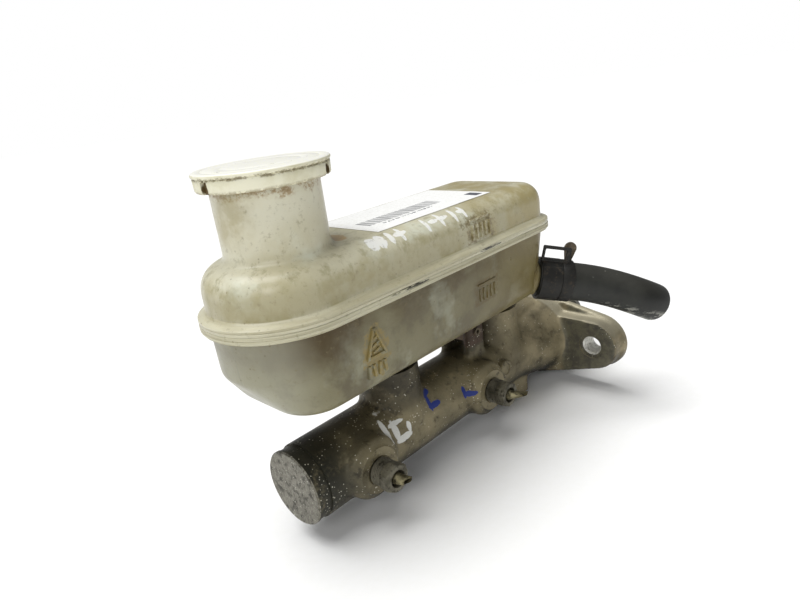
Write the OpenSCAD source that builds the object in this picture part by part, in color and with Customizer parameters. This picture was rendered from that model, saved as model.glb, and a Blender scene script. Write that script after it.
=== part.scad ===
// Tandem brake master cylinder with a plastic fluid reservoir on top.
// Millimetres. X runs along the bore towards the booster, Z is up.
// The origin is the centre of the bore on the mounting face of the flange.

/* [Bore and pistons] */
// Diameter of the bore, 13/16 inch
bore_d = 20.64; // [20:0.02:21]
// Gap between a piston and the bore wall, on the radius
piston_gap = 0.05; // [0.03:0.01:0.08]
// Wire diameter of both return springs
wire_d = 2.2; // [1.8:0.1:2.4]

/* [Body] */
// Length of the body from the closed end to the mounting face
body_len = 180; // [178:1:184]
// Outside diameter of the barrel
barrel_d = 32.4; // [31:0.2:34]
// Diameter of each inlet tower
tower_d = 27.2; // [25:0.2:28]
// Height of the towers' tops above the bore axis
tower_top = 30; // [29:0.5:31]
// Diameter of each outlet boss
boss_d = 18.4; // [17:0.2:20]
// Distance of the outlet faces from the bore axis
boss_reach = 20.5; // [19:0.5:24]

/* [Flange] */
// Distance between the two stud holes
stud_spacing = 75; // [72:0.5:78]
// Diameter of the stud holes
stud_hole_d = 8.8; // [8.4:0.1:9.2]
// Thickness of the flange ears
ear_t = 11; // [9:0.5:13]
// Diameter of the pilot spigot that enters the booster
spigot_d = 38; // [37:0.2:40]
// Length of the pilot spigot
spigot_len = 16; // [15:0.5:18]

/* [Reservoir] */
// Half of the width of the reservoir at its rim wall
tank_half_w = 28; // [27:0.5:29]
// Height of the weld plane above the bore axis
rim_z = 73; // [72:0.5:74]
// Height of the reservoir's top
tank_top = 92.5; // [92:0.5:95]
// Height of the reservoir's floor
tank_floor = 36.9; // [36.5:0.1:38]
// Wall thickness of the reservoir
tank_wall = 2.4; // [2:0.1:2.8]
// Outside diameter of the filler neck
neck_d = 38; // [37:0.2:39]

/* [Cap] */
// Diameter of the cap's top disc
cap_d = 47.6; // [47.4:0.2:50]
// Height of the cap's top face above the bore axis
cap_top = 124; // [123.6:0.2:125]

/* [Hose] */
// Outside diameter of the feed hose
hose_d = 18.6; // [18:0.2:19.4]
// Bend radius of the feed hose
hose_bend = 84; // [74:2:110]

/* [Hidden] */
$fn = 72;

bore_r = bore_d / 2;
piston_r = bore_r - piston_gap;
wire_r = wire_d / 2;
barrel_r = barrel_d / 2;
bore_end = -body_len + 10;

// Stations along the bore: outlets, towers and their drillings
port_x = [-152, -76];
tower_x = [-122.5, -46.5];
compensating_x = [-127.2, -49.8];
inlet_x = [-119.6, -40.5];
outlet_drill_x = [-152, -79];
stop_bolt_x = -116.9;

// Pistons at rest
sec_front = -129.4;
sec_rear = -86;
pri_front = -52;
pri_rear = 34;
rod_r = 7.5;
seat_front = -84;

// Counterbore in the mouth for the washer, guide, seal and circlip
mouth_x = -2;
mouth_r = 12.5;

// Outlet hardware
port_r = 5;
seat_floor = 11.5;
pipe_r = 2.38;
nut_flats = 11;
nut_len = 10;
collar_r = 5.7;
collar_len = 5.3;

// Reservoir outline: left end, right end and corner radii in plan
tank_left = -194.2;
tank_right = -30.5;
left_corner = 27.5;
right_corner = 11;
rim_lip = 3.2;
rim_half_t = 3;
floor_inset = 0.8;
floor_left = -185.5;
floor_right = -34;
floor_corner = 17.5;
floor_right_corner = 13;
knee_z = 53;
knee_left = -193.6;
knee_corner = 25.7;
knee_right_corner = 14;
knee_inset = 0.8;
top_round = 9;
floor_round = 7.6;
neck_x = -165.1;
neck_top = 121;
neck_wall = 2.2;
nipple_r = 6;
socket_r = 9.5;
lug_x = -71;
lug_z = 26.5;
pin_r = 2;

// Hose and its nipple at the rear corner of the reservoir
hose_at = [-37.5, -23.1, 45];
hose_yaw = -45;
hose_dip = 14;
hose_roll = 29;
hose_straight = 20;
hose_sweep = 18;
end_bend = 20;
end_roll = 135;
end_sweep = 45;
hose_sides = 24;
hose_bore_r = 6.9;
spout_r = 6.76;
clamp_from = 0.4;
clamp_w = 16.2;
strip_t = 1.2;
loop_wire_r = 0.8;
loop_h = 7;
tongue_x = 15.3;
tongue_h = 6.6;

function nut_hex_r(flats) = flats / 2 / cos(30);

// Round bar along X between two stations
module rod(x0, x1, r) {
    translate([x0, 0, 0]) rotate([0, 90, 0]) cylinder(h = x1 - x0, r = r);
}

// Turned part about the bore axis from [radius, x] points
module turned(points) {
    rotate([0, 90, 0]) rotate_extrude() polygon(points);
}

// Round bar along -Y, starting at distance y0 from the axis and ending at y1
module side_rod(x, y0, y1, r) {
    translate([x, -y0, 0]) rotate([90, 0, 0]) cylinder(h = y1 - y0, r = r);
}

// Hexagonal bar along -Y
module side_hex(x, y0, y1, flats) {
    translate([x, -y0, 0]) rotate([90, 0, 0])
        cylinder(h = y1 - y0, r = nut_hex_r(flats), $fn = 6);
}

// ---- Cast body ----

module ear_plate(x0, x1, tip_r, hub_r, hub_drop) {
    translate([x0, 0, 0]) rotate([90, 0, 90]) linear_extrude(x1 - x0)
        hull() {
            for (side = [-1, 1])
                translate([side * stud_spacing / 2, 0]) circle(r = tip_r, $fn = 32);
            translate([0, -hub_drop]) circle(r = hub_r, $fn = 48);
        }
}

module body_casting() {
    rod(-body_len, -body_len + 4, barrel_r - 0.45);
    rod(-body_len + 3, -body_len + 6, barrel_r - 1.3);
    rod(-body_len + 5, -20, barrel_r);
    turned([[0, -34], [barrel_r - 0.2, -34], [22, -10], [22, -2], [0, -2]]);
    ear_plate(-ear_t, 0, 13.2, 19, 5);
    ear_plate(-3.4, 0, 14.8, 22, 0);
    rod(-2, spigot_len, spigot_d / 2);
    for (x = tower_x)
        translate([x, 0, 2]) cylinder(h = tower_top - 2, d = tower_d);
    for (x = port_x)
        side_rod(x, 2, boss_reach, boss_d / 2);
    side_rod(stop_bolt_x, -20, -2, 7);
    for (side = [-1, 1])
        translate([lug_x - 6, side * 7.5 - 2, 10]) cube([12, 4, lug_z + 5 - 10]);
    translate([-52, -9, -25.5]) cube([23, 18, 16]);
    for (side = [-1, 1])
        translate([-15, side * 15 - 9.5, -6]) cube([6, 19, 12]);
    translate([-40, -5, 12]) cube([32, 10, 9]);
}

module cylinder_body() {
    color("#7d776b") difference() {
        body_casting();
        rod(bore_end, spigot_len + 1, bore_r);
        rod(mouth_x, spigot_len + 1, mouth_r);
        rod(13.2, 14.6, mouth_r + 1);
        turned([[spigot_d / 2 - 2.4, 2], [spigot_d / 2 + 1, 2],
            [spigot_d / 2 + 1, 5.6], [spigot_d / 2 - 2.4, 5.6]]);
        for (x = tower_x)
            translate([x, 0, tower_top - 10]) cylinder(h = 11, r = socket_r);
        for (x = compensating_x)
            translate([x, 0, bore_r - 1]) cylinder(h = tower_top - bore_r, r = 0.6);
        for (x = inlet_x)
            translate([x, 0, bore_r - 1]) cylinder(h = tower_top - bore_r, r = 1.6);
        for (x = port_x)
            side_rod(x, seat_floor, boss_reach + 1, port_r);
        for (x = outlet_drill_x)
            side_rod(x, bore_r - 1, seat_floor + 0.5, 1.3);
        side_rod(stop_bolt_x, -20.5, -bore_r + 1, 3);
        for (side = [-1, 1])
            translate([-ear_t - 1, side * stud_spacing / 2, 0]) rotate([0, 90, 0]) {
                cylinder(h = ear_t + 2, d = stud_hole_d);
                cylinder(h = 1.6, d = 2 * 7);
                cylinder(h = 2.4, d = stud_hole_d + 1.8);
            }
        translate([lug_x, -10, lug_z]) rotate([-90, 0, 0]) cylinder(h = 20, r = pin_r);
    }
}

// Screw that stops the secondary piston on its way back
module stop_bolt() {
    color("#6d6a62") {
        side_rod(stop_bolt_x, -20.2, -bore_r, 2.95);
        side_rod(stop_bolt_x, -bore_r, -7.4, 1.6);
        side_hex(stop_bolt_x, -24.4, -20.2, 10);
    }
}

// ---- Outlet hardware ----

module flare_seats() {
    color("#b9923f") for (x = port_x)
        translate([x, -seat_floor - 0.1, 0]) rotate([90, 0, 0]) difference() {
            union() {
                cylinder(h = 1.6, r = 4.9);
                translate([0, 0, 1.5]) cylinder(h = 2.2, r1 = 3.6, r2 = 1.9);
            }
            translate([0, 0, -1]) cylinder(h = 8, r = 1.2);
        }
}

module outlet_nut(x) {
    difference() {
        union() {
            side_rod(x, boss_reach - 5, boss_reach + 0.6, port_r - 0.05);
            side_rod(x, boss_reach + 0.2, boss_reach + collar_len, collar_r);
            side_hex(x, boss_reach + collar_len - 0.2, boss_reach + nut_len, nut_flats);
        }
        side_rod(x, boss_reach - 6, boss_reach + nut_len + 1, pipe_r + 0.02);
    }
}

module outlet_nuts() {
    color("#55524a") for (x = port_x) outlet_nut(x);
}

// Brake pipe left in a nut: a straight piece, then a crushed tail of the given length
module pipe_stub(x, tail, lean) {
    side_rod(x, boss_reach - 5.1, boss_reach + nut_len + 2, pipe_r);
    translate([x, -boss_reach - nut_len - 1.9, 0]) hull() {
        rotate([90, 0, 0]) cylinder(h = 0.4, r = pipe_r, $fn = 24);
        translate([lean, -tail, 0]) cube([3.4, 0.4, 1.3], center = true);
    }
}

module pipe_stubs() {
    color("#7b6f45") {
        pipe_stub(port_x[0], 3.5, 1.2);
        pipe_stub(port_x[1], 5, 5);
    }
}

// ---- Seals and trim of the body ----

module inlet_grommets() {
    color("#222222") for (x = tower_x)
        translate([x, 0, 0]) difference() {
            union() {
                translate([0, 0, tower_top - 9.5]) cylinder(h = 9.6, r = socket_r - 0.04);
                translate([0, 0, tower_top]) cylinder(h = 3, r = socket_r + 2);
            }
            translate([0, 0, tower_top - 12]) cylinder(h = 20, r = nipple_r + 0.04);
        }
}

module reservoir_pin() {
    color("#5f5b52") translate([lug_x, -10.6, lug_z]) rotate([-90, 0, 0])
        difference() {
            cylinder(h = 21.2, r = pin_r - 0.03);
            translate([0, 0, -1]) cylinder(h = 24, r = 1.1);
        }
}

module flange_o_ring() {
    color("#1c1c1c") rotate([0, 90, 0]) translate([0, 0, 3.8])
        rotate_extrude() translate([spigot_d / 2 - 0.75, 0]) circle(r = 1.6, $fn = 32);
}

module stop_washer() {
    color("#8d8d86") difference() {
        rod(mouth_x, mouth_x + 1.4, mouth_r - 0.05);
        rod(mouth_x - 1, mouth_x + 2, rod_r + 0.06);
    }
}

module piston_guide() {
    color("#d8d4c4") difference() {
        rod(mouth_x + 1.4, 8.4, mouth_r - 0.05);
        rod(mouth_x, 9, rod_r + 0.05);
        turned([[9.6, 4], [11, 4], [11, 9], [9.6, 9]]);
    }
}

module vacuum_seal() {
    color("#1c1c1c") turned([[rod_r + 0.04, 8.4], [mouth_r - 0.05, 8.4],
        [mouth_r - 0.05, 12.6], [mouth_r - 2, 12.6], [mouth_r - 2, 10],
        [rod_r + 2, 10], [rod_r + 0.9, 12.8], [rod_r + 0.04, 12.8]]);
}

module circlip() {
    color("#4f4f4c") rotate([0, 90, 0]) translate([0, 0, 13.3])
        rotate([0, 0, 20]) rotate_extrude(angle = 320)
            translate([mouth_r - 1.7, 0]) square([2.6, 1.2]);
}

// ---- Secondary piston ----

module secondary_piston() {
    color("#a9a79f") turned([[0, sec_front], [4.4, sec_front], [4.4, -122.2],
        [piston_r, -122.2], [piston_r, -118.8], [6.5, -118.8], [6.5, -101],
        [piston_r, -101], [piston_r, -99.5], [7.4, -99.5], [7.4, -96.3],
        [piston_r, -96.3], [piston_r, -94.3], [7.4, -94.3], [7.4, -91.1],
        [piston_r, -91.1], [piston_r, -89], [5.6, -89], [5.6, sec_rear],
        [3.8, sec_rear], [3.8, -105], [0, -105]]);
}

module secondary_cup() {
    color("#20201f") turned([[4.45, -122.2], [piston_r, -122.2], [piston_r, -126.4],
        [8.4, -126.4], [7.6, -124], [4.45, -124]]);
}

module secondary_rear_cups() {
    color("#20201f") {
        turned([[7.45, -99.4], [piston_r, -99.4], [piston_r, -96.4], [7.45, -96.4]]);
        turned([[7.45, -94.2], [piston_r, -94.2], [piston_r, -91.2], [7.45, -91.2]]);
    }
}

// ---- Primary piston ----

module primary_piston() {
    color("#b0aea6") difference() {
        turned([[0, pri_front], [4.4, pri_front], [4.4, -44.8], [piston_r, -44.8],
            [piston_r, -42.4], [6.8, -42.4], [6.8, -9], [piston_r, -9],
            [piston_r, -7.6], [7.4, -7.6], [7.4, -4.2], [piston_r, -4.2],
            [piston_r, mouth_x - 0.1], [rod_r, mouth_x - 0.1], [rod_r, pri_rear],
            [0, pri_rear]]);
        rod(pri_front - 1, -40, 2);
        rod(22, pri_rear + 1, 4.5);
        turned([[0, 19], [4.5, 22.1], [0, 22.1]]);
    }
}

module primary_cup() {
    color("#20201f") turned([[4.45, -44.8], [piston_r, -44.8], [piston_r, -49],
        [8.4, -49], [7.6, -46.6], [4.45, -46.6]]);
}

module primary_rear_cup() {
    color("#20201f") turned([[7.45, -7.5], [piston_r, -7.5], [piston_r, -4.3],
        [7.45, -4.3]]);
}

// ---- Springs ----

coil_steps = 20;
wire_sides = 8;

// Points of a coil's wire about the X axis: one ring of the wire for each step
function coil_ring(a, x, mean_r, wire) = [
    for (k = [0 : wire_sides - 1])
        let (b = 360 * k / wire_sides, r = mean_r + wire * cos(b))
            [x + wire * sin(b), r * cos(a), r * sin(a)]
];

module coil(x0, x1, mean_r, wire, turns) {
    steps = round(coil_steps * turns);
    travel = x1 - x0 - 2 * wire;
    rings = [for (i = [0 : steps])
        coil_ring(360 * turns * i / steps, x0 + wire + travel * i / steps, mean_r, wire)];
    points = [for (ring = rings) each ring];
    sides = [for (i = [0 : steps - 1]) for (k = [0 : wire_sides - 1])
        let (a = i * wire_sides + k, b = i * wire_sides + (k + 1) % wire_sides)
            [a, a + wire_sides, b + wire_sides, b]];
    start_face = [for (k = [0 : wire_sides - 1]) k];
    end_face = [for (k = [0 : wire_sides - 1]) steps * wire_sides + wire_sides - 1 - k];
    polyhedron(points, concat([start_face, end_face], sides));
}

module secondary_spring() {
    color("#8a8a86") coil(bore_end + 0.1, -124.2, 6.3, wire_r, 8.5);
}

module primary_spring() {
    color("#8a8a86") coil(seat_front + 0.05, pri_front - 2.1, 6.3, wire_r, 5.5);
}

module spring_seat() {
    color("#8f8f8a") difference() {
        rod(sec_rear, seat_front, 8.6);
        rod(sec_rear - 1, seat_front + 1, 2.3);
    }
}

module spring_bolt() {
    color("#7c7c77") {
        rod(sec_rear - 0.2, -42, 1.97);
        rod(sec_rear - 2.6, sec_rear - 0.1, 3.4);
        difference() {
            rod(pri_front - 2, pri_front - 0.05, 8.6);
            rod(pri_front - 3, pri_front, 1.9);
        }
    }
}

// ---- Reservoir ----

// Four corner places of the reservoir's outline: [x, y, corner radius]
function corners(left, right, half_w, r_left, r_right) = [
    for (side = [-1, 1]) [left + r_left, side * (half_w - r_left), r_left],
    for (side = [-1, 1]) [right - r_right, side * (half_w - r_right), r_right]
];

rim_corners = corners(tank_left, tank_right, tank_half_w, left_corner, right_corner);
floor_corners = corners(floor_left, floor_right, tank_half_w - floor_inset,
    floor_corner, floor_right_corner);
knee_corners = corners(knee_left, tank_right - 1.6, tank_half_w - knee_inset,
    knee_corner, knee_right_corner);
lip_corners = corners(tank_left - rim_lip, tank_right + rim_lip,
    tank_half_w + rim_lip, left_corner + rim_lip, right_corner + rim_lip);

// Disc with a round edge, for a corner whose plan radius is corner_r
module round_disc(corner_r, edge_r, inset) {
    rotate_extrude($fn = 40) intersection() {
        translate([corner_r - edge_r, 0]) circle(r = edge_r - inset, $fn = 32);
        translate([0, -edge_r]) square([corner_r, 2 * edge_r]);
    }
}

// Lower half as a solid, shrunk by the given amount
module lower_solid(inset, top) {
    hull() {
        for (c = rim_corners)
            translate([c[0], c[1], rim_z - 3]) cylinder(h = top - rim_z + 3, r = c[2] - inset, $fn = 40);
        for (c = knee_corners)
            translate([c[0], c[1], knee_z]) cylinder(h = 0.1, r = c[2] - inset, $fn = 40);
        for (c = floor_corners)
            translate([c[0], c[1], tank_floor + floor_round]) round_disc(c[2], floor_round, inset);
    }
}

// Upper half as a solid, shrunk by the given amount
module upper_solid(inset, bottom) {
    hull() for (c = rim_corners) {
        translate([c[0], c[1], bottom]) cylinder(h = 3, r = c[2] - inset, $fn = 40);
        translate([c[0], c[1], tank_top - top_round]) round_disc(c[2], top_round, inset);
    }
}

// One layer of the weld rim
module rim_layer(z) {
    translate([0, 0, z]) linear_extrude(rim_half_t)
        hull() for (c = lip_corners) translate([c[0], c[1]]) circle(r = c[2], $fn = 48);
}

// Puts its children at the hose's start, with X along the hose
module at_hose() {
    translate(hose_at) rotate([0, 0, hose_yaw]) rotate([0, hose_dip, 0]) children();
}

module reservoir_lower() {
    color("#b7b199") difference() {
        union() {
            difference() {
                union() {
                    lower_solid(0, rim_z);
                    rim_layer(rim_z - rim_half_t);
                    at_hose() rotate([0, 90, 0]) translate([0, 0, -6]) cylinder(h = 5, r = 8.6);
                }
                lower_solid(tank_wall, rim_z + 1);
            }
            for (x = tower_x) translate([x, 0, 0]) {
                translate([0, 0, tower_top - 8]) cylinder(h = tank_floor - tower_top + 8.5, r = nipple_r);
                translate([0, 0, tower_top + 3]) cylinder(h = tank_floor - tower_top - 2.5, r = nipple_r + 3);
            }
            translate([lug_x - 4, -5.3, lug_z - 4.5]) cube([8, 10.6, tank_floor - lug_z + 5]);
            translate([lug_x - 16, -22, tank_floor + 1]) cube([2, 44, 22]);
            at_hose() rotate([0, 90, 0]) translate([0, 0, -3]) cylinder(h = 22, r = spout_r);
        }
        for (x = tower_x)
            translate([x, 0, tower_top - 9]) cylinder(h = 22, r = nipple_r - 1.8);
        translate([lug_x, -10, lug_z]) rotate([-90, 0, 0]) cylinder(h = 20, r = pin_r);
        at_hose() rotate([0, 90, 0]) translate([0, 0, -9]) cylinder(h = 40, r = spout_r - 1.8);
    }
}

// Three-start thread on the outside of the neck
thread_pitch = 12;
thread_steps = 8;
thread_z = 116.8;
module neck_thread() {
    arc = 80;
    r0 = neck_d / 2 - 0.4;
    r1 = neck_d / 2 + 1.2;
    for (start = [0 : 120 : 240])
        rotate([0, 0, start]) {
            points = [for (i = [0 : thread_steps])
                let (a = arc * i / thread_steps, z = thread_z + thread_pitch * a / 360)
                    each [[r0 * cos(a), r0 * sin(a), z], [r0 * cos(a), r0 * sin(a), z + 1.4],
                        [r1 * cos(a), r1 * sin(a), z + 1], [r1 * cos(a), r1 * sin(a), z + 0.4]]];
            sides = [for (i = [0 : thread_steps - 1]) for (k = [0 : 3])
                [4 * i + k, 4 * i + (k + 1) % 4, 4 * i + 4 + (k + 1) % 4, 4 * i + 4 + k]];
            last = 4 * thread_steps;
            polyhedron(points, concat([[3, 2, 1, 0], [last, last + 1, last + 2, last + 3]], sides));
        }
}

module reservoir_upper() {
    color("#d5d0b8") difference() {
        union() {
            difference() {
                union() {
                    upper_solid(0, rim_z);
                    rim_layer(rim_z);
                }
                upper_solid(tank_wall, rim_z - 1);
            }
            translate([neck_x, 0, tank_top - 2]) cylinder(h = neck_top - tank_top + 2, d = neck_d);
            translate([neck_x, 0, tank_top - 0.6]) cylinder(h = 2, r1 = neck_d / 2 + 1.8, r2 = neck_d / 2 - 0.1);
            translate([neck_x, 0, 0]) neck_thread();
        }
        translate([neck_x, 0, tank_top - 12]) cylinder(h = 60, d = neck_d - 2 * neck_wall);
    }
}

module paper_label() {
    color("#f4f4f0") translate([-133, -18.5, tank_top]) cube([70, 37, 0.2]);
}

// Basket in the filler neck that keeps dirt out of the fluid
module strainer() {
    basket_r = 13;
    basket_low = 98;
    rim_low = 118.6;
    color("#e4e2d6") translate([neck_x, 0, 0]) difference() {
        union() {
            translate([0, 0, rim_low]) cylinder(h = 1.6, d = neck_d - 2 * neck_wall - 0.1);
            translate([0, 0, basket_low]) cylinder(h = rim_low - basket_low + 1, r = basket_r);
        }
        translate([0, 0, basket_low + 1.2]) cylinder(h = 40, r = basket_r - 1.2);
        for (turn = [0 : 30 : 150])
            rotate([0, 0, turn]) translate([-20, -1.6, basket_low + 3]) cube([40, 3.2, 13]);
    }
}

// ---- Cap ----

module cap_seal() {
    color("#262624") translate([neck_x, 0, 0]) difference() {
        union() {
            translate([0, 0, neck_top]) cylinder(h = 0.75, r = 20);
            translate([0, 0, 111]) cylinder(h = neck_top - 110.5, r = 11);
        }
        translate([0, 0, 112.2]) cylinder(h = 20, r = 9.8);
    }
}

module filler_cap() {
    skirt_low = cap_top - 6.4;
    skirt_r = cap_d / 2 - 0.3;
    color("#ece8d8") translate([neck_x, 0, 0]) difference() {
        union() {
            translate([0, 0, cap_top - 1.4]) cylinder(h = 1.4, d = cap_d);
            translate([0, 0, skirt_low]) cylinder(h = 5.2, r1 = skirt_r - 0.6, r2 = skirt_r);
        }
        translate([0, 0, skirt_low - 1]) cylinder(h = cap_top - skirt_low - 1.2, r = neck_d / 2 + 1.8);
        for (a = [-176.7, -56.7, 63.3])
            rotate([0, 0, a]) translate([cap_d / 2 - 1.8, -1.8, skirt_low - 1])
                cube([4, 3.6, 5.2]);
    }
}

// ---- Hose ----

// Stations along an arc that starts at a point, heading along d and turning towards b
function arc_stations(from, d, b, r, sweep, steps) = [
    for (i = [1 : steps])
        let (a = sweep * i / steps)
            [from + r * sin(a) * d + r * (1 - cos(a)) * b, cos(a) * d + sin(a) * b]
];

// Centre line of the hose: straight off the nipple, a wide bend, then a tight one
turn_1 = [0, -cos(hose_roll), -sin(hose_roll)];
straight_run = [for (x = [0, hose_straight / 2, hose_straight]) [[x, 0, 0], [1, 0, 0]]];
wide_run = arc_stations([hose_straight, 0, 0], [1, 0, 0], turn_1, hose_bend, hose_sweep, 6);
bend_end = wide_run[len(wide_run) - 1];
normal_1 = cos(hose_sweep) * turn_1 - sin(hose_sweep) * [1, 0, 0];
turn_2 = cos(end_roll) * normal_1 + sin(end_roll) * cross(bend_end[1], normal_1);
tight_run = arc_stations(bend_end[0], bend_end[1], turn_2, end_bend, end_sweep, 8);
hose_line = concat(straight_run, wide_run, tight_run);

function hose_ring(station, r) =
    let (d = station[1], u = cross(d, [0, 0, 1]) / norm(cross(d, [0, 0, 1])), w = cross(d, u))
        [for (k = [0 : hose_sides - 1])
            let (a = 360 * k / hose_sides) station[0] + r * cos(a) * u + r * sin(a) * w];

// Quads that join ring a to ring b, where each ring starts at the given point number
function band(a, b) = [for (k = [0 : hose_sides - 1])
    [a + k, b + k, b + (k + 1) % hose_sides, a + (k + 1) % hose_sides]];

module feed_hose() {
    last = len(hose_line) - 1;
    inner = hose_sides * (last + 1);
    points = [for (r = [hose_d / 2, hose_bore_r]) for (st = hose_line) each hose_ring(st, r)];
    skin = [for (i = [0 : last - 1]) each band(i * hose_sides, (i + 1) * hose_sides)];
    lining = [for (i = [0 : last - 1])
        each band(inner + (i + 1) * hose_sides, inner + i * hose_sides)];
    ends = concat(band(inner, 0), band(last * hose_sides, inner + last * hose_sides));
    color("#242424") at_hose() polyhedron(points, concat(skin, lining, ends));
}

// Round wire between two points
module wire(a, b) {
    hull() for (p = [a, b]) translate(p) sphere(r = loop_wire_r, $fn = 16);
}

// Spring band with a wire loop and a tongue to squeeze it open
module hose_clamp() {
    band_r = hose_d / 2 + 0.03;
    foot_z = band_r + 0.4;
    color("#34312c") at_hose() {
        translate([clamp_from, 0, 0]) rotate([0, 90, 0]) difference() {
            cylinder(h = clamp_w, r = band_r + strip_t);
            translate([0, 0, -1]) cylinder(h = clamp_w + 2, r = band_r);
        }
        wire([1.4, -3, foot_z], [0.5, -3, foot_z + loop_h]);
        wire([0.5, -3, foot_z + loop_h], [9.6, -3, foot_z + loop_h]);
        wire([9.6, -3, foot_z + loop_h], [13.2, -3, foot_z]);
        translate([tongue_x - 1.9, 3, band_r + 0.2]) cube([3.8 - 0.6, strip_t, tongue_h]);
        translate([tongue_x - 0.3, 3 + strip_t, band_r + tongue_h]) rotate([90, 0, 0])
            cylinder(h = strip_t, r = 3.2);
    }
}

cylinder_body();
stop_bolt();
flare_seats();
outlet_nuts();
pipe_stubs();
inlet_grommets();
reservoir_pin();
flange_o_ring();
stop_washer();
piston_guide();
vacuum_seal();
circlip();
secondary_piston();
secondary_cup();
secondary_rear_cups();
secondary_spring();
primary_piston();
primary_cup();
primary_rear_cup();
primary_spring();
spring_seat();
spring_bolt();
reservoir_lower();
reservoir_upper();
paper_label();
strainer();
cap_seal();
filler_cap();
feed_hose();
hose_clamp();
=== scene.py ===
"""Tandem brake master cylinder with its plastic fluid reservoir, standing on a pale floor."""
import math

import bpy
from mathutils import Matrix, Vector


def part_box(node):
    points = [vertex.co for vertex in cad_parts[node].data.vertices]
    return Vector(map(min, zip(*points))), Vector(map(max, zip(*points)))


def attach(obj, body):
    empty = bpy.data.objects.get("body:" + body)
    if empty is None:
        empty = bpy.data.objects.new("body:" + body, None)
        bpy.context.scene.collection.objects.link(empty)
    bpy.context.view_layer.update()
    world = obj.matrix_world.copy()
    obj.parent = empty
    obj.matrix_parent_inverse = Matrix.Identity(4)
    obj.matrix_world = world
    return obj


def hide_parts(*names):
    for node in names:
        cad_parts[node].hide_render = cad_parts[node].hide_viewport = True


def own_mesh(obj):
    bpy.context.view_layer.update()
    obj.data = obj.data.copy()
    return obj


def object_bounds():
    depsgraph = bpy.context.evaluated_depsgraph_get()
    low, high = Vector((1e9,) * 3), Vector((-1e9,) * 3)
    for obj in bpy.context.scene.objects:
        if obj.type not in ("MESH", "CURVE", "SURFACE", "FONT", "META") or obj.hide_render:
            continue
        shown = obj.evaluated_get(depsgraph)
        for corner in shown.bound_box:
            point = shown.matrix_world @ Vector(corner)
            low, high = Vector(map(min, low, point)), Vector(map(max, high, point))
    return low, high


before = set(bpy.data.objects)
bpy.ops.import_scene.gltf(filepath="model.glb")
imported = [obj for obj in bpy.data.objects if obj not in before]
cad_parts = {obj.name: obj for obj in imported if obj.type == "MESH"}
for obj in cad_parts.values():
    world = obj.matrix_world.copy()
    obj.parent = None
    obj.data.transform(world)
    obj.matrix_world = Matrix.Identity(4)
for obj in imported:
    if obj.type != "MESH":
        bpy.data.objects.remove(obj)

cad_box = [[float(v) for v in corner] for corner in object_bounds()]

MM = 0.001
SOLVER = "MANIFOLD"

# ---- Sizes of the part, in millimetres ----

PORTS = (-152.0, -76.0)
TOWERS = (-122.5, -46.5)
BARREL_R = 16.2
TOWER_R = 13.6
TOWER_TOP = 30.0
BOSS_R = 9.2
BOSS_FACE = 20.5
STUD_Y = 37.5
STUD_R = 4.4
NECK_X = -165.1
NECK_R = 19.0
NECK_TOP = 121.0
RIM_Z = 73.0
TANK_LEFT = -194.2
TANK_RIGHT = -30.5
TANK_HALF = 28.0
TANK_TOP = 92.5
TANK_WALL = 2.4
TOP_ROUND = 9.0
KNEE_Z = 53.0
KNEE_LEFT = -193.6
FLOOR_LEFT = -185.5
FLOOR_RIGHT = -34.0
FLOOR_Z = 36.9
FLOOR_ROUND = 7.6
SIDE_WALL = 27.2
LUG_X = -71.0
LUG_Z = 26.5
PIN_R = 2.0
STOP_BOLT_X = -116.9
PAD_AT = (-59.5, 3.0)
BORE_R = 10.32
NUT_END = 30.5
HEX_FROM = 25.6
HOSE_R = 9.3
HOSE_WALL = 2.4
SPOUT_R = 6.76
CLAMP_BORE_R = 9.33
VOXEL = 0.9


# ---- Modelling helpers ----

def deselect():
    if bpy.context.mode != "OBJECT":
        close_edit()
    bpy.ops.object.select_all(action="DESELECT")


def close_edit():
    bpy.ops.object.mode_set(mode="OBJECT")


def pick(obj):
    deselect()
    obj.select_set(True)
    bpy.context.view_layer.objects.active = obj
    return obj


def edit_all(obj):
    """Opens obj for editing with all of it selected."""
    pick(obj)
    bpy.ops.object.mode_set(mode="EDIT")
    bpy.ops.mesh.select_all(action="SELECT")


def settle(name=None):
    """Puts the active object's place and turn into its mesh."""
    obj = bpy.context.object
    bpy.ops.object.transform_apply(location=True, rotation=True, scale=True)
    if name:
        obj.name = name
    return obj


def spot_on(axis, along, across):
    """A point from its distance along an axis and its two other coordinates, in metres."""
    a, b = across
    if axis == "X":
        return Vector((along, a, b)) * MM
    if axis == "Y":
        return Vector((a, along, b)) * MM
    if axis == "-Y":
        return Vector((a, -along, b)) * MM
    return Vector((a, b, along)) * MM


TURN = {"X": (0, math.pi / 2, 0), "Y": (-math.pi / 2, 0, 0), "-Y": (math.pi / 2, 0, 0), "Z": (0, 0, 0)}


def bar(axis, start, end, r, across=(0, 0), r_end=None, sides=64):
    """Round bar or cone along an axis."""
    deselect()
    bpy.ops.mesh.primitive_cone_add(
        vertices=sides, radius1=r * MM, radius2=(r if r_end is None else r_end) * MM,
        depth=abs(end - start) * MM, end_fill_type="NGON",
        location=spot_on(axis, (start + end) / 2, across), rotation=TURN[axis])
    return settle()


def block(low, high):
    deselect()
    middle = [(a + b) / 2 * MM for a, b in zip(low, high)]
    bpy.ops.mesh.primitive_cube_add(size=1, location=middle)
    bpy.context.object.scale = [(b - a) * MM for a, b in zip(low, high)]
    return settle()


def select_faces(obj, test):
    """Selects the faces of obj whose centre and normal pass the test. Leaves edit mode on."""
    bpy.ops.object.mode_set(mode="EDIT")
    bpy.ops.mesh.select_mode(type="FACE")
    bpy.ops.mesh.select_all(action="DESELECT")
    close_edit()
    for face in obj.data.polygons:
        face.select = test(face.center, face.normal)
    bpy.ops.object.mode_set(mode="EDIT")


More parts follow.
